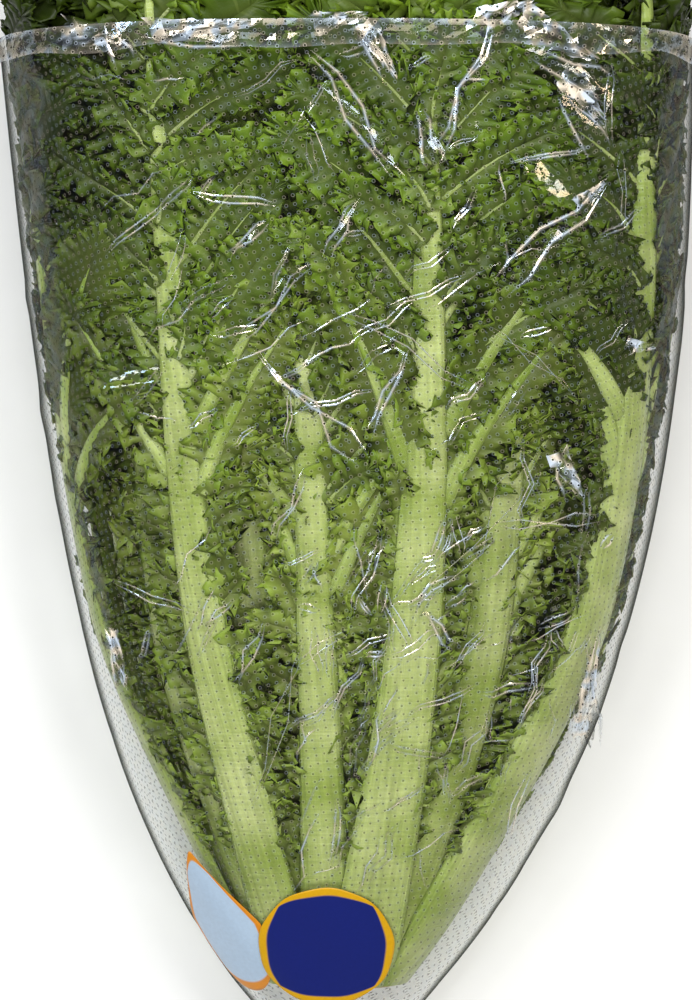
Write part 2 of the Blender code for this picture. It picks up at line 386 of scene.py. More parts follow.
def buildLeaf(ring, index, materials):
    plan = leafRings[ring]
    rng = np.random.default_rng(1000 * ring + index + 7)
    turn = leafTurns["first"] + leafTurns["stagger"] * ring + 2.0 * math.pi * index / plan["count"]
    upness = math.sin(turn)
    level = "coarse"
    if ring < 2 and upness > -0.4:
        level = "fine"
    elif ring < 3 and upness > -0.5:
        level = "medium"
    detail = meshDetail[level]
    place, rateAt = makeLeafSpace(turn, plan["out"], 1.0 if ring == 0 else plan["out"] + 0.14)
    end = plan["end"] + leafTurns["tipStagger"] * math.cos(leafTurns["tipTurn"] * index)
    start = max(0.0, 0.13 * (1.0 - (plan["out"] - 0.078) / 0.84))
    swayA, swayB = rng.uniform(-0.003, 0.003), anyPhase(rng)

    def sectorHalf(station):
        return rateAt(station) * math.pi / plan["count"]

    ribHalf = plan["ribHalf"] * rng.uniform(0.94, 1.04) * plan.get("ribShares", (1.0,) * 8)[index]
    leaf = {
        "frill": plan["frill"] * plan.get("frillShares", (1.0,) * 8)[index],
        "place": place, "start": start - 0.002, "end": end, "blade": plan["blade"],
        "frillStart": start + 0.12, "youth": plan["youth"], "shade": rng.uniform(0, 1), "veins": [],
        "ribAt": lambda s: np.minimum(ribHalf * np.clip(1.0 - s / (end + 0.01), 0.0, 1.0) ** 0.80 + 0.0004,
                                      sectorHalf(s) * 0.97),
        "wander": lambda s: swayA * np.sin(4.2 * s + swayB) * smoothStep(0.05, 0.4, s),
        "ribRise": lambda s: -0.0015 * smoothStep(0.4, 0.7, s),
    }

    bm = bmesh.new()
    layers = newLayers(bm)
    for sign in (-1, 1):
        addRibFrill(bm, layers, leaf, sign, detail, rng)
        if level != "coarse" and leaf["frill"] > leaflet["least"]:
            addLeaflets(bm, layers, leaf, sign, rng)
        first = plan["blade"] + (0.0 if sign > 0 else detail["lobes"] / 2.0)
        for station in np.arange(first, end - 0.035, detail["lobes"]):
            station = station + rng.uniform(-lobes["astray"], lobes["astray"])
            rel = (station - plan["blade"]) / (end - plan["blade"])
            broad = rng.uniform() < lobes["broadShare"]
            forked = station - first < lobes["forked"] * detail["lobes"]
            angle = math.radians((22.0 if forked else 28.0) + 24.0 * rel + rng.uniform(-8, 8))
            bend = math.radians(rng.uniform(5, 30))
            reach = float(sectorHalf(station)) * rng.uniform(0.95, 1.35) / math.sin(angle + bend * 0.5)
            length = min(max(reach, lobes["least"]), lobes["most"]) * (1.0 - 0.45 * rel ** 2)
            fleshy = 0.62 if forked else 0.34 - 0.16 * rel
            lobe = {
                "sign": sign, "angle": angle, "bend": bend, "length": length * (1.25 if forked else 1.0),
                "width": lobes["broad" if broad else "narrow"] * rng.uniform(0.85, 1.2),
                "low": float(leaf["ribRise"](station)), "lift": rng.uniform(-0.004, 0.006),
                "roll": rng.uniform(-0.0035, 0.0035), "cup": rng.uniform(-0.003, 0.003),
                "smooth": 2.2 if broad else 1.3, "curl": rng.uniform(0.8, 1.35),
                "cutGap": rng.uniform(0.8, 1.4) * (1.5 if broad else 1.0),
                "vein": max(0.0008, float(leaf["ribAt"](station)) * fleshy),
                "youth": min(1.0, plan["youth"] + 0.85 * float(smoothStep(0.60, 0.36, station))),
                "shade": rng.uniform(0, 1),
            }
            rootSide = float(leaf["wander"](station)) + sign * float(leaf["ribAt"](station)) * 0.5
            addLobe(bm, layers, leaf, (rootSide, station), lobe, detail, rng)
    cover = plan["blade"] + rng.uniform(0.07, 0.15)
    for station in np.arange(cover, end - 0.05, detail["lobes"] * lobes["coverShare"]):
        aside = 0.95 * smoothStep(lobes["fade"], 0.0, station - cover)
        lobe = {
            "sign": rng.choice([-1, 1]),
            "angle": math.radians(rng.uniform(5, 50)), "bend": math.radians(rng.uniform(0, 50)),
            "length": rng.uniform(0.014, 0.028), "width": rng.uniform(0.0065, 0.0095),
            "low": float(leaf["ribAt"](station)) * 0.4, "lift": rng.uniform(0.001, 0.006),
            "roll": rng.uniform(-0.003, 0.003), "cup": rng.uniform(-0.002, 0.003), "smooth": 1.0,
            "curl": rng.uniform(0.9, 1.35), "cutGap": rng.uniform(0.7, 1.1), "vein": 0.0008,
            "youth": plan["youth"], "shade": rng.uniform(0, 1),
        }
        rootSide = float(leaf["wander"](station)) + lobe["sign"] * aside * float(leaf["ribAt"](station))
        addLobe(bm, layers, leaf, (rootSide, station + rng.uniform(-0.01, 0.01)), lobe, detail, rng)
    tip = {"sign": 1, "angle": 0.0, "bend": 0.2, "length": 0.016, "width": 0.013, "low": 0.0,
           "lift": rng.uniform(-0.003, 0.004), "roll": 0.001, "cup": 0.0, "smooth": 1.3, "curl": 1.0,
           "cutGap": 1.0, "vein": 0.0009, "youth": plan["youth"], "shade": rng.uniform(0, 1)}
    addLobe(bm, layers, leaf, (float(leaf["wander"](end - 0.03)), end - 0.045), tip, detail, rng)

    name = f"{plan['name']}_leaf_{index + 1}"
    bm = thicken(bm, frill["thickness"])
    layers = {"tone": bm.verts.layers.float_color["tone"], "place": bm.verts.layers.float_vector["place"]}
    addRib(bm, layers, leaf, level != "coarse")
    piece = finishPiece(bm, name + "_look", materials)
    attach(piece, "root")
    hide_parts(name)
    return piece


def thicken(bm, thickness):
    # gives open sheets their thickness without stretching it at tight folds
    sheets = finishPiece(bm, "sheets", [None, None])
    solid = sheets.modifiers.new("Thickness", "SOLIDIFY")
    solid.thickness = thickness
    solid.offset = 0.0
    solid.use_even_offset = False
    solid.use_quality_normals = False
    thick = bpy.data.meshes.new_from_object(sheets.evaluated_get(bpy.context.evaluated_depsgraph_get()))
    closed = bmesh.new()
    closed.from_mesh(thick)
    bpy.data.objects.remove(sheets)
    bpy.data.meshes.remove(thick)
    return closed


def finishPiece(bm, name, materials):
    bmesh.ops.recalc_face_normals(bm, faces=bm.faces)
    mesh = bpy.data.meshes.new(name)
    bm.to_mesh(mesh)
    bm.free()
    for material in materials:
        mesh.materials.append(material)
    piece = bpy.data.objects.new(name, mesh)
    bpy.context.scene.collection.objects.link(piece)
    return piece


def hexColour(text):
    parts = [int(text[i:i + 2], 16) / 255.0 for i in (1, 3, 5)]
    return [p / 12.92 if p <= 0.04045 else ((p + 0.055) / 1.055) ** 2.4 for p in parts] + [1.0]


def addNode(material, kind, settings=None, **sockets):
    # adds a node; a socket goes by its name or number, and takes a value or another node's output
    node = material.node_tree.nodes.new("ShaderNode" + kind)
    for key, value in (settings or {}).items():
        setattr(node, key, value)
    for key, value in sockets.items():
        socket = node.inputs[int(key[1:]) if key[1:].isdigit() else key.replace("_", " ")]
        if isinstance(value, bpy.types.NodeSocket):
            material.node_tree.links.new(value, socket)
        else:
            socket.default_value = value
    return node


def newMaterial(name):
    material = bpy.data.materials.new(name)
    material.use_nodes = True
    material.node_tree.nodes.clear()
    return material


blend = {"data_type": "RGBA"}
tint = {"data_type": "RGBA", "blend_type": "MULTIPLY"}


def leafBladeMaterial():
    # thin waxy leaf, grown: green at the curled margin, lightened there as a painted highlight, paler by
    # its veins, yellow towards the heart, with painted shade in the folds and towards the outer sides
    m = newMaterial("endiveBlade")
    tone = addNode(m, "Attribute", {"attribute_name": "tone"})
    split = addNode(m, "SeparateColor", Color=tone.outputs["Color"])
    spot = addNode(m, "Attribute", {"attribute_name": "place"})
    spread = addNode(m, "SeparateXYZ", Vector=spot.outputs["Vector"])          # Z is low in the folds
    coords = addNode(m, "TexCoord").outputs["Object"]
    patches = addNode(m, "TexNoise", Vector=coords, Scale=110.0, Detail=3.0, Roughness=0.6)  # 9 mm patches
    cells = addNode(m, "TexVoronoi", {"feature": "DISTANCE_TO_EDGE"}, Vector=coords, Scale=900.0)  # 1.1 mm
    outward = addNode(m, "Mapping", Vector=spot.outputs["Vector"], Scale=(620.0, 70.0, 0.0))
    veinlets = addNode(m, "TexNoise", Vector=outward.outputs[0], Scale=1.0, Detail=1.0)      # 1.6 mm apart
    green = addNode(m, "Mix", blend, i0=patches.outputs["Fac"],
                    i6=hexColour("#46660b"), i7=hexColour("#709022"))
    young = addNode(m, "Mix", blend, i0=patches.outputs["Fac"],
                    i6=hexColour("#96b33a"), i7=hexColour("#c3d465"))
    base = addNode(m, "Mix", blend, i0=split.outputs[1], i6=green.outputs[2], i7=young.outputs[2])
    pale = addNode(m, "Mix", blend, i0=split.outputs[1], i6=hexColour("#a9bf62"), i7=hexColour("#cfd985"))
    base = addNode(m, "Mix", blend, i0=split.outputs[0], i6=base.outputs[2], i7=pale.outputs[2])
    thread = addNode(m, "MapRange", Value=veinlets.outputs["Fac"], i1=0.58, i2=0.66, i3=0.0, i4=0.35)
    base = addNode(m, "Mix", blend, i0=thread.outputs[0], i6=base.outputs[2], i7=hexColour("#adc360"))
    # painted highlight: the curled margin is lightened towards its teeth, where they catch the light
    rim = addNode(m, "MapRange", Value=tone.outputs["Alpha"], i1=0.72, i2=1.0, i3=0.0, i4=0.45)
    base = addNode(m, "Mix", blend, i0=rim.outputs[0], i6=base.outputs[2], i7=hexColour("#92b22c"))
    level = addNode(m, "MapRange", Value=split.outputs[2], i3=0.66, i4=1.10)   # leaves differ
    base = addNode(m, "Mix", tint, i0=1.0, i6=base.outputs[2], i7=level.outputs[0])
    # painted shade: the leaves are darkened towards the head's outer sides, where they turn away from the
    # light
    where = addNode(m, "SeparateXYZ", Vector=coords)                           # darkest at the outer sides
    aside = addNode(m, "Math", {"operation": "ABSOLUTE"}, i0=where.outputs[0])
    outer = addNode(m, "MapRange", Value=aside.outputs[0], i1=0.048, i2=0.092, i3=1.0, i4=0.25)
    base = addNode(m, "Mix", tint, i0=1.0, i6=base.outputs[2], i7=outer.outputs[0])
    # painted shade: darker low in the curls' folds and towards the vein, by the crest kept in place Z
    paintedFoldShade = addNode(m, "MapRange", Value=spread.outputs[2], i1=0.15, i2=0.75, i3=0.12, i4=1.0)
    base = addNode(m, "Mix", tint, i0=1.0, i6=base.outputs[2], i7=paintedFoldShade.outputs[0])
    bump = addNode(m, "Bump", Strength=0.35, Distance=0.0002, Height=cells.outputs["Distance"])
    rough = addNode(m, "MapRange", Value=patches.outputs["Fac"], i3=0.34, i4=0.50)
    skin = addNode(m, "BsdfPrincipled", Base_Color=base.outputs[2], Roughness=rough.outputs[0], IOR=1.42,
                   Normal=bump.outputs[0])
    through = addNode(m, "BsdfTranslucent", Color=base.outputs[2], Normal=bump.outputs[0])
    both = addNode(m, "MixShader", i0=0.22, i1=skin.outputs[0], i2=through.outputs[0])
    addNode(m, "OutputMaterial", Surface=both.outputs[0])
    return m


def ribMaterial():
    # fleshy wet rib, grown: pale, with fine lengthwise strings and finer cross ridges
    m = newMaterial("endiveRib")
    tone = addNode(m, "Attribute", {"attribute_name": "tone"})
    split = addNode(m, "SeparateColor", Color=tone.outputs["Color"])
    spot = addNode(m, "Attribute", {"attribute_name": "place"}).outputs["Vector"]
    along = addNode(m, "Mapping", Vector=spot, Scale=(700.0, 25.0, 1.0))       # strings 1.4 mm apart
    across = addNode(m, "Mapping", Vector=spot, Scale=(60.0, 900.0, 1.0))      # ridges 1.1 mm apart
    strings = addNode(m, "TexNoise", Vector=along.outputs[0], Scale=1.0, Detail=2.0)
    ridges = addNode(m, "TexNoise", Vector=across.outputs[0], Scale=1.0, Detail=1.0)
    coords = addNode(m, "TexCoord").outputs["Object"]
    mottle = addNode(m, "TexNoise", Vector=coords, Scale=48.0, Detail=4.0)     # 20 mm patches
    patches = addNode(m, "MapRange", Value=mottle.outputs["Fac"], i1=0.34, i2=0.66, i3=0.0, i4=1.0)
    lower = addNode(m, "Mix", blend, i0=patches.outputs[0],
                    i6=hexColour("#98aa54"), i7=hexColour("#c6d08c"))
    upper = addNode(m, "Mix", blend, i0=patches.outputs[0],
                    i6=hexColour("#88a33c"), i7=hexColour("#acc264"))
    base = addNode(m, "Mix", blend, i0=split.outputs[0], i6=upper.outputs[2], i7=lower.outputs[2])
    level = addNode(m, "MapRange", Value=split.outputs[2], i3=0.86, i4=1.04)
    base = addNode(m, "Mix", tint, i0=1.0, i6=base.outputs[2], i7=level.outputs[0])
    streak = addNode(m, "MapRange", Value=strings.outputs["Fac"], i1=0.3, i2=0.7, i3=0.80, i4=1.10)
    base = addNode(m, "Mix", tint, i0=1.0, i6=base.outputs[2], i7=streak.outputs[0])
    fainter = addNode(m, "Math", {"operation": "MULTIPLY"}, i0=ridges.outputs["Fac"], i1=0.8)
    relief = addNode(m, "Math", {"operation": "ADD"}, i0=strings.outputs["Fac"], i1=fainter.outputs[0])
    bump = addNode(m, "Bump", Strength=0.8, Distance=0.0005, Height=relief.outputs[0])
    skin = addNode(m, "BsdfPrincipled", Base_Color=base.outputs[2], Roughness=0.32, IOR=1.42,
                   Normal=bump.outputs[0], Subsurface_Weight=0.25,
                   Subsurface_Radius=(0.006, 0.006, 0.002), Subsurface_Scale=0.6)
    addNode(m, "OutputMaterial", Surface=skin.outputs[0])
    return m


def cutButtMaterial():
    # stem cut with a knife, its wet face browned by the air in patches
    m = newMaterial("cutStem")
    coords = addNode(m, "TexCoord").outputs["Object"]
    patches = addNode(m, "TexNoise", Vector=coords, Scale=260.0, Detail=4.0)   # 4 mm patches
    base = addNode(m, "Mix", blend, i0=patches.outputs["Fac"],
                   i6=hexColour("#d6cc9c"), i7=hexColour("#94744a"))
    bump = addNode(m, "Bump", Strength=0.5, Distance=0.0006, Height=patches.outputs["Fac"])
    skin = addNode(m, "BsdfPrincipled", Base_Color=base.outputs[2], Roughness=0.7, Normal=bump.outputs[0])
    addNode(m, "OutputMaterial", Surface=skin.outputs[0])
    return m


def filmMaterial():
    # clear polypropylene film, blown and needle-punched: faint glare, pinholes with a lip painted as a
    # highlight and a dark inside painted as shade, creases bent white and partly painted as glints, and
    # painted shade: a dark green cast where it is seen edge on
    m = newMaterial("clearFilm")
    spot = addNode(m, "Attribute", {"attribute_name": "place"}).outputs["Vector"]
    tone = addNode(m, "Attribute", {"attribute_name": "tone"})
    split = addNode(m, "SeparateColor", Color=tone.outputs["Color"])
    fresnel = addNode(m, "Fresnel", IOR=1.49)
    gloss = addNode(m, "Math", {"operation": "MULTIPLY"}, i0=fresnel.outputs[0], i1=1.3)     # both faces
    mirror = addNode(m, "Math", {"operation": "MINIMUM"}, i0=gloss.outputs[0], i1=0.05)
    tilted = addNode(m, "Mapping", Vector=spot, Rotation=(0.0, 0.0, 0.3))
    holes = addNode(m, "TexVoronoi", {"voronoi_dimensions": "2D"}, Vector=tilted.outputs[0], Scale=400.0,
                    Randomness=0.12)                                           # pinholes 2.5 mm apart
    whole = addNode(m, "MapRange", Value=holes.outputs["Distance"], i1=0.11, i2=0.14, i3=0.0, i4=1.0)
    lip = addNode(m, "MapRange", Value=holes.outputs["Distance"], i1=0.23, i2=0.20, i3=0.0, i4=1.0)
    ring = addNode(m, "Math", {"operation": "MULTIPLY"}, i0=lip.outputs[0], i1=whole.outputs[0])
    # painted highlight: the pinhole's lip is whitened; the crease whitening added here is partly painted
    # glint
    white = addNode(m, "Math", {"operation": "MULTIPLY_ADD", "use_clamp": True},
                    i0=ring.outputs[0], i1=0.075, i2=split.outputs[0])
    dull = addNode(m, "Math", {"operation": "ADD", "use_clamp": True},
                   i0=ring.outputs[0], i1=split.outputs[0])
    facets = addNode(m, "TexVoronoi", {"feature": "DISTANCE_TO_EDGE", "voronoi_dimensions": "2D"},
                     Vector=spot, Scale=110.0)                                 # slack dents 9 mm across
    bump = addNode(m, "Bump", Strength=0.35, Distance=0.0005, Height=facets.outputs["Distance"])
    hues = addNode(m, "TexNoise", Vector=spot, Scale=260.0, Detail=0.0)         # glints split into colours
    hue = addNode(m, "MapRange", Value=hues.outputs["Fac"], i1=0.42, i2=0.58, i3=0.0, i4=1.0)
    shine = addNode(m, "Mix", blend, i0=hue.outputs[0], i6=hexColour("#e2efff"), i7=hexColour("#fff1dd"))
    matt = addNode(m, "Math", {"operation": "MULTIPLY_ADD"}, i0=split.outputs[0], i1=0.35, i2=0.05)
    metal = addNode(m, "Math", {"operation": "SUBTRACT"}, i0=1.0, i1=dull.outputs[0])
    glare = addNode(m, "BsdfPrincipled", Base_Color=shine.outputs[2], Metallic=metal.outputs[0],
                    Roughness=matt.outputs[0], Normal=bump.outputs[0])
    slant = addNode(m, "LayerWeight", i0=0.5)
    # painted shade: seen edge on, the film turns dark green and darkens the head's sides
    deep = addNode(m, "MapRange", Value=slant.outputs["Facing"], i1=0.64, i2=0.92, i3=0.0, i4=1.0)
    paintedEdgeAndHoleShade = addNode(m, "Mix", blend, i0=deep.outputs[0],
                     i6=(0.985, 0.99, 0.99, 1.0), i7=(0.07, 0.085, 0.055, 1.0))
    shade = addNode(m, "MapRange", Value=whole.outputs[0], i3=0.45, i4=1.0)    # painted shade: a pinhole darkens what is seen through it
    paintedEdgeAndHoleShade = addNode(m, "Mix", tint, i0=1.0, i6=paintedEdgeAndHoleShade.outputs[2], i7=shade.outputs[0])
    clear = addNode(m, "BsdfTransparent", Color=paintedEdgeAndHoleShade.outputs[2])
    amount = addNode(m, "Math", {"operation": "ADD", "use_clamp": True},
                     i0=mirror.outputs[0], i1=white.outputs[0])
    amount = addNode(m, "Math", {"operation": "MULTIPLY"}, i0=amount.outputs[0], i1=whole.outputs[0])
    both = addNode(m, "MixShader", i0=amount.outputs[0], i1=clear.outputs[0], i2=glare.outputs[0])
    addNode(m, "OutputMaterial", Surface=both.outputs[0])
    return m


def labelMaterial(name, field, rim):
    # coated paper sticker, printed with a plain field and a coloured rim
    m = newMaterial(name)
    tone = addNode(m, "Attribute", {"attribute_name": "tone"})
    split = addNode(m, "SeparateColor", Color=tone.outputs["Color"])
    coords = addNode(m, "TexCoord").outputs["Object"]
    fibre = addNode(m, "TexNoise", Vector=coords, Scale=900.0, Detail=3.0)     # fibres about 1 mm long
    edge = addNode(m, "MapRange", Value=split.outputs[0], i1=0.86, i2=0.89, i3=0.0, i4=1.0)
    base = addNode(m, "Mix", blend, i0=edge.outputs[0], i6=hexColour(field), i7=hexColour(rim))
    level = addNode(m, "MapRange", Value=fibre.outputs["Fac"], i3=0.88, i4=1.08)
    base = addNode(m, "Mix", tint, i0=1.0, i6=base.outputs[2], i7=level.outputs[0])
    bump = addNode(m, "Bump", Strength=0.3, Distance=0.0001, Height=fibre.outputs["Fac"])
    skin = addNode(m, "BsdfPrincipled", Base_Color=base.outputs[2], Roughness=0.36, IOR=1.5,
                   Normal=bump.outputs[0])
    addNode(m, "OutputMaterial", Surface=skin.outputs[0])
    return m


sleeve = {
    "mouth": 0.861, "end": -0.046,              # stations of the wide mouth and the narrow end
    "side": 0.009, "top": 0.0012, "under": 0.0030,   # slack round the leaves
    "around": 200, "along": 170, "crowding": 0.12,   # columns crowd on the upper side
    "dents": 110, "dentRise": (0.05, 0.16),
    "hem": 0.026, "hemCrumple": 0.0011,         # the mouth is folded over, this many stations deep
    # the crease whitening is partly the film's own stress-whitening and partly painted glint
    "creases": 190, "whiteningAndGlint": (0.25, 0.85),  # small sharp creases, and how white they are bent
    "pairs": 0.6, "apart": (0.0004, 0.0012),    # many come as a narrow pair
    "float": 0.00015,                           # creases lie this far off the film under them
    "crumples": [                               # crushed places: middle, heading in degrees, length, width
        (-75, 126, -12, 17, 9), (-42, 127, 4, 30, 7), (-2, 129, 10, 16, 6), (10, 120, -60, 18, 6),
        (62, 124, -25, 24, 10), (70, 108, -50, 18, 9), (47, 132, 20, 18, 7), (72, 80, 40, 12, 5),
        (74, -66, 80, 34, 7), (66, -2, -60, 14, 7), (-69, -58, -78, 18, 4), (88, 36, 0, 9, 5),
    ],
    "folds": [                                  # the large folds, end to end and width, in millimetres
        (-12, 121, 16, 83, 3.5), (43, 130, 25, 88, 4.5), (21, 104, 27, 86, 6), (76, 83, 43, 50, 5.5),
        (4, 78, -6, 60, 2.5), (-8, 60, -35, 35, 2), (-22, 72, -35, 61, 2.5), (-5, 46, 40, 22, 1.6),
        (-27, 35, 7, 0, 3), (18, 35, 6, 8, 3), (37, 44, 71, 17, 1), (-12, 0, -22, -23, 2),
        (43, -17, 77, -15, 1.6), (58, 8, 16, -54, 1), (62, 4, 68, -9, 6), (73, -51, 76, -87, 6),
        (-72, -48, -68, -69, 3), (-33, -39, -43, -48, 2), (-24, -45, -34, -66, 2), (-10, -45, -30, -106, 1),
        (22, -42, 33, -54, 3), (-70, 130, -64, 117, 6), (-60, 126, -28, 124, 5), (3, 127, 13, 112, 5),
        (52, 121, 79, 109, 8), (62, 110, 75, 91, 8), (81, 94, 83, 68, 1),
    ],
}


def filmPoints(station, turn, proud):
    wide, high = halfSizes(station)
    across, up = unitSkin(turn)
    slack = np.where(up > 0.0, sleeve["top"], sleeve["under"])
    x = head["startX"] + head["lean"] * np.sin(np.pi * np.clip(station, 0.0, 1.0))
    x = x + (wide + sleeve["side"] + proud) * across
    y = head["startY"] + head["length"] * station
    z = head["lowest"] + high + (high + slack + proud) * up
    return stacked(x, y, np.maximum(z, 0.0))


def filmTop(x, y):
    # the same upper side, as a height over a place on the surface
    station = (y - head["startY"]) / head["length"]
    wide, high = halfSizes(station)
    middle = head["startX"] + head["lean"] * np.sin(np.pi * np.clip(station, 0.0, 1.0))
    across = np.clip((x - middle) / (wide + sleeve["side"]), -0.998, 0.998)
    up = (1.0 - np.abs(across) ** head["squareness"]) ** (1.0 / head["squareness"])
    return head["lowest"] + high + (high + sleeve["top"] + dents(x, y) * smoothStep(-0.2, 0.3, up)) * up


def dents(x, y):
    # straight-sided dents laid over each other
    rng = np.random.default_rng(41)
    total = np.zeros_like(x)
    for _ in range(sleeve["dents"]):
        x0, y0, heading = rng.uniform(-0.10, 0.10), rng.uniform(-0.15, 0.13), rng.uniform(0, math.pi)
        long, wide = rng.uniform(0.012, 0.05), rng.uniform(0.004, 0.011)
        rise = wide * rng.uniform(*sleeve["dentRise"]) * rng.choice([-0.5, 1.0])
        across = np.abs((x - x0) * math.cos(heading) + (y - y0) * math.sin(heading)) / wide
        along = np.abs((y - y0) * math.cos(heading) - (x - x0) * math.sin(heading)) / long
        total += rise * np.clip(1.0 - across, 0.0, 1.0) * np.clip(1.4 * (1.0 - along), 0.0, 1.0)
    return total


def addCrease(bm, layers, start, finish, wide, rise, whitenedAndGlint, rng, apart=0.0):
    # a sharp narrow ridge of film, kinked on its way and pointed at both ends
    knots = np.linspace(0.0, 1.0, 5)
    reach = math.dist(start, finish)
    kinks = np.concatenate([[0.0], rng.uniform(-0.07, 0.07, 3), [0.0]]) * reach
    ahead = (np.array(finish) - np.array(start)) / reach
    sideways = np.array([-ahead[1], ahead[0]])

    def shape(t, v):
        offset = (t - 0.5) * wide * np.clip(4.0 * np.minimum(v, 1.0 - v), 0.0, 1.0) ** 0.7
        offset = offset + np.interp(v, knots, kinks) + apart * np.sin(np.pi * v) ** 0.6
        x = start[0] + ahead[0] * reach * v + sideways[0] * offset
        y = start[1] + ahead[1] * reach * v + sideways[1] * offset
        crown = (1.0 - np.abs(2.0 * t - 1.0)) * np.sin(np.pi * v)
        z = filmTop(x, y) + sleeve["float"] + rise * crown
        # the crease is painted white towards its crown: partly the film's stress-whitening, partly painted
        # glint
        return stacked(x, y, z), stacked(whitenedAndGlint * crown, t, v, 1.0), stacked(x, y, 0.0)

    addPatch(bm, layers, 2, 12, shape, 0, False)


def addCrumple(bm, layers, x0, y0, heading, long, wide, rng):
    # a crushed place: small flat facets, each caught by the light in its own way, and each painted white to
    # its own degree, partly as stress-whitening and partly as painted glint
    def shape(t, v):
        ragged = rng.uniform(-0.10, 0.10, (2, len(t)))
        ahead = (v - 0.5 + ragged[0]) * long
        aside = (t - 0.5 + ragged[1]) * wide * (1.15 - 0.9 * v)
        x = x0 + ahead * math.cos(heading) - aside * math.sin(heading)
        y = y0 + ahead * math.sin(heading) + aside * math.cos(heading)
        inner = (np.minimum(t, 1.0 - t) > 0.01) & (np.minimum(v, 1.0 - v) > 0.01)
        z = filmTop(x, y) + sleeve["float"] + 0.0013 * rng.uniform(0, 1, len(t)) * inner
        whitenedAndGlint = np.clip(rng.uniform(-0.5, 1.2, len(t)), 0.0, 0.9)
        return stacked(x, y, z), stacked(whitenedAndGlint, t, v, 1.0), stacked(x, y, 0.0)

    addPatch(bm, layers, 5, 9, shape, 0, False)


def buildSleeve(material):
    bm = bmesh.new()
    layers = newLayers(bm)
    rng = np.random.default_rng(5)

    def tube(t, v):
        side = 2.0 * t - 1.0
        turn = np.pi * (0.5 + side - sleeve["crowding"] * np.sin(2.0 * np.pi * side))
        station = sleeve["end"] + (sleeve["mouth"] - sleeve["end"]) * v
        flat = filmPoints(station, turn, 0.0)
        proud = dents(flat[:, 0], flat[:, 1]) * smoothStep(-0.2, 0.3, unitSkin(turn)[1])
        points = filmPoints(station, turn, proud)
        girth = (turn - 0.5 * np.pi) * (halfSizes(station)[0] + 0.02) * 0.85
        return points, stacked(0.0, t, v, 1.0), stacked(girth, points[:, 1], 0.0)

    def hem(t, v):
        turn = np.pi * (0.04 + 0.92 * t)
        station = sleeve["mouth"] - sleeve["hem"] * v * (0.85 + 0.15 * np.sin(31.0 * t) * np.sin(7.0 * t))
        inner = (v > 0.01) & (v < 0.99)
        proud = 0.0004 + sleeve["hemCrumple"] * rng.uniform(0, 1, len(t)) * inner
        points = filmPoints(station, turn, proud)
        # the hem's folded edges are painted whiter: partly stress-whitening, partly painted glint
        whitenedAndGlint = np.where(inner, 0.10, 0.34)
        return points, stacked(whitenedAndGlint, t, v, 1.0), stacked(points[:, 0], points[:, 1], 0.0)

    verts = addPatch(bm, layers, sleeve["around"], sleeve["along"], tube, 0)
    bmesh.ops.remove_doubles(bm, verts=verts, dist=1e-6)
    addPatch(bm, layers, 90, 4, hem, 0, False)
    for x0, y0, heading, long, wide in sleeve["crumples"]:
        addCrumple(bm, layers, x0 * 0.001, y0 * 0.001, math.radians(heading),
                   long * 0.001, wide * 0.001, rng)
    for fold in sleeve["folds"]:
        x0, y0, x1, y1, wide = (value * 0.001 for value in fold)
        half = np.array([y0 - y1, x1 - x0]) / math.dist((x0, y0), (x1, y1)) * wide / 2.0
        for side in (-1.0, 1.0):                # a large fold has a sharp ridge along each side
            narrow = (x0 + side * half[0] * 0.3, y0 + side * half[1] * 0.3)
            broad = (x1 + side * half[0], y1 + side * half[1])
            # each side ridge is painted white: partly stress-whitening, partly painted glint
            addCrease(bm, layers, narrow, broad, min(wide * 0.5, 0.0016), 0.0005, 0.75, rng)
        addCrease(bm, layers, (x0, y0), (x1, y1), wide, wide * rng.uniform(0.09, 0.14), 0.04, rng)
    for _ in range(sleeve["creases"]):
        low = rng.uniform() < 0.55              # most lie where the sleeve is gathered in
        x0 = rng.uniform(-0.02, 0.08) if low else rng.uniform(-0.08, 0.085)
        y0 = rng.uniform(-0.135, -0.02) if low else rng.uniform(-0.06, 0.12)
        heading, long = rng.normal(0.9, 0.6), rng.uniform(0.006, 0.030)
        end = (x0 + long * math.cos(heading), y0 + long * math.sin(heading))
        widest = (halfSizes((min(y0, end[1]) - head["startY"]) / head["length"])[0] + sleeve["side"]) * 0.94
        if max(abs(x0), abs(end[0])) < widest and end[1] < 0.125:
            wide, whitenedAndGlint = rng.uniform(0.0005, 0.0012), rng.uniform(*sleeve["whiteningAndGlint"])
            apart = rng.uniform(*sleeve["apart"]) * (rng.uniform() < sleeve["pairs"])
            state = rng.bit_generator.state
            for side in (-1.0, 1.0) if apart > 0.0 else (0.0,):
                rng.bit_generator.state = state
                addCrease(bm, layers, (x0, y0), end, wide, wide * 0.22, whitenedAndGlint, rng, side * apart)
    piece = finishPiece(bm, "film_sleeve_look", [material])
    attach(piece, "root")
    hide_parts("film_sleeve")
    return piece


labels = {
    "round_label": {"station": 0.041, "turn": 1.67, "half": (0.0205, 0.0190), "point": 0.0,
                    "field": "#16226e", "rim": "#d8a414", "rimWave": 0.008, "proud": 0.0010},
    "slim_label": {"station": 0.062, "turn": 2.42, "half": (0.0125, 0.0225), "point": 0.80,
                   "field": "#b3c8dd", "rim": "#dc8a1e", "rimWave": 0.0, "proud": 0.0004},
}


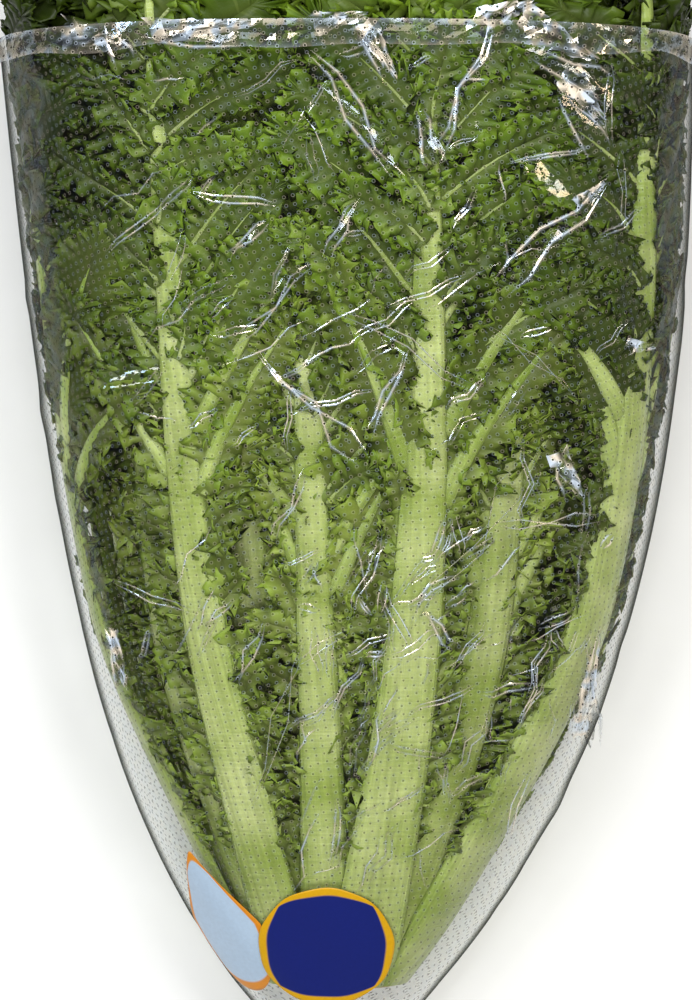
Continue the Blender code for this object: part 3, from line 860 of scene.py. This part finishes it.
def buildLabel(name):
    plan = labels[name]
    bm = bmesh.new()
    layers = newLayers(bm)
    step = 0.01

    def shape(t, v):
        flatX, flatY = 2.0 * t - 1.0, 2.0 * v - 1.0
        across = flatX * np.sqrt(1.0 - flatY ** 2 / 2.0)
        along = flatY * np.sqrt(1.0 - flatX ** 2 / 2.0)
        rimward = np.maximum(np.abs(flatX), np.abs(flatY))
        wavy = 1.0 + plan["rimWave"] * rimward * np.sin(9.0 * np.arctan2(along, across) + 0.6)
        across = across * wavy * (1.0 - plan["point"] * np.maximum(0.0, along))
        station = plan["station"] + along * wavy * plan["half"][1] / head["length"]
        ends = [filmPoints(station, np.full_like(t, plan["turn"] + side * step), 0.0) for side in (-1, 1)]
        rate = np.linalg.norm(ends[1] - ends[0], axis=1) / (2.0 * step)
        turn = plan["turn"] - across * plan["half"][0] / rate
        proud = plan["proud"] + 0.0002 * np.sin(across * 5.0 + along * 3.0)
        points = filmPoints(station, turn, proud)
        return points, stacked(rimward, t, v, 1.0), points

    addPatch(bm, layers, 64, 64, shape, 0)
    piece = finishPiece(bm, name + "_look", [labelMaterial(name + "Paper", plan["field"], plan["rim"])])
    solid = piece.modifiers.new("Thickness", "SOLIDIFY")
    solid.thickness = 0.0003
    solid.offset = 1.0
    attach(piece, "root")
    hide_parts(name)
    return piece


butt = {"first": -0.010, "face": -0.004, "last": 0.118, "out": 0.84, "reach": 0.13}


def buildButt(material):
    bm = bmesh.new()
    layers = newLayers(bm)

    def shape(t, v):
        station = np.maximum(butt["face"], butt["first"] + (butt["last"] - butt["first"]) * v)
        out = butt["out"] * (1.0 - np.maximum(station, 0.0) / butt["reach"]) * np.where(v < 1e-6, 0.0, 1.0)
        flat = np.where(station <= butt["face"], smoothStep(0.0, 0.05, v), 1.0)
        points = skinPoints(station, 2.0 * np.pi * t, out * flat)
        return points, stacked(out, v, 0.0, 1.0), points

    verts = addPatch(bm, layers, 64, 60, shape, 0)
    bmesh.ops.remove_doubles(bm, verts=verts, dist=1e-6)
    piece = finishPiece(bm, "butt_look", [material])
    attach(piece, "root")
    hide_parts("butt")
    return piece


def buildFloor():
    bm = bmesh.new()
    bmesh.ops.create_grid(bm, x_segments=4, y_segments=4, size=4.0)
    bmesh.ops.translate(bm, verts=bm.verts, vec=(0, 0, -0.0003))
    m = newMaterial("paleSurface")
    coords = addNode(m, "TexCoord").outputs["Object"]
    grain = addNode(m, "TexNoise", Vector=coords, Scale=40.0, Detail=3.0)
    base = addNode(m, "Mix", blend, i0=grain.outputs["Fac"],
                   i6=hexColour("#f4f4f2"), i7=hexColour("#fafaf9"))
    skin = addNode(m, "BsdfPrincipled", Base_Color=base.outputs[2], Roughness=0.8)
    addNode(m, "OutputMaterial", Surface=skin.outputs[0])
    floor = finishPiece(bm, "floor", [m])


lights = {                                      # width and depth, watts, place, colour, seen in gloss
    "softTop": ((0.55, 0.45), 7.6, (-0.05, -0.35, 1.20), (1.0, 1.0, 1.0), False),
    "softLeft": ((0.40, 0.30), 4.7, (-0.38, 0.42, 1.15), (1.0, 1.0, 1.0), True),
    "softRight": ((0.40, 0.30), 4.7, (0.34, 0.42, 1.15), (1.0, 1.0, 1.0), True),
    "softBack": ((1.0, 0.6), 3.6, (0.10, 0.90, 1.00), (1.0, 1.0, 1.0), True),
    "coolBar": ((0.05, 0.40), 1.2, (-0.85, 0.10, 0.85), (0.75, 0.88, 1.0), True),
    "warmBar": ((0.05, 0.40), 1.2, (0.85, 0.15, 0.85), (1.0, 0.86, 0.68), True),
}


def addLight(name, size, power, place, colour, glossy):
    light = bpy.data.lights.new(name, "AREA")
    light.shape = "RECTANGLE"
    light.size, light.size_y = size
    light.energy = power
    light.color = colour
    item = bpy.data.objects.new(name, light)
    item.location = place
    item.visible_glossy = glossy
    toHead = np.array((0.0, 0.0, 0.08)) - np.array(place)
    yaw = math.atan2(toHead[1], toHead[0])
    pitch = math.atan2(-toHead[2], math.hypot(toHead[0], toHead[1]))
    item.rotation_euler = (math.pi / 2.0 - pitch, 0.0, yaw - math.pi / 2.0)
    bpy.context.scene.collection.objects.link(item)


room = {"light": 0.10, "pale": 0.92}            # what it gives, and how pale it looks
camera = {"lens": 120.0, "sensor": 36.0, "y": -0.0097,
          "shown": 0.297, "level": 0.085}       # so many metres fill the view at this height


def buildSet():
    buildFloor()
    world = bpy.data.worlds.new("softRoom")
    world.use_nodes = True
    sky = world.node_tree.nodes["Background"]
    sky.inputs[0].default_value = (1.0, 1.0, 1.0, 1.0)
    seen = world.node_tree.nodes.new("ShaderNodeLightPath")
    level = world.node_tree.nodes.new("ShaderNodeMapRange")
    level.inputs["To Min"].default_value, level.inputs["To Max"].default_value = room["light"], room["pale"]
    world.node_tree.links.new(seen.outputs["Is Camera Ray"], level.inputs["Value"])
    world.node_tree.links.new(level.outputs[0], sky.inputs["Strength"])
    bpy.context.scene.world = world
    for name, plan in lights.items():
        addLight(name, *plan)
    bpy.context.scene.view_settings.view_transform = "Standard"

    cam = bpy.data.cameras.new("camera")
    cam.lens = camera["lens"]
    cam.sensor_width = camera["sensor"]
    item = bpy.data.objects.new("camera", cam)
    item.location = (0.0, camera["y"], camera["level"] + camera["shown"] * cam.lens / cam.sensor_width)
    bpy.context.scene.collection.objects.link(item)
    bpy.context.scene.camera = item


blade, rib = leafBladeMaterial(), ribMaterial()
for ring, plan in enumerate(leafRings):
    for index in range(plan["count"]):
        buildLeaf(ring, index, [blade, rib])
    print("leaves done:", plan["name"])
buildButt(cutButtMaterial())
buildSleeve(filmMaterial())
for name in labels:
    buildLabel(name)
buildSet()
looks = [item for item in bpy.data.objects if item.name.endswith("_look")]
print("set done:", sum(len(item.data.polygons) for item in looks) * 2, "triangles, at most",
      max(len(item.data.polygons) for item in looks) * 2, "in one piece")
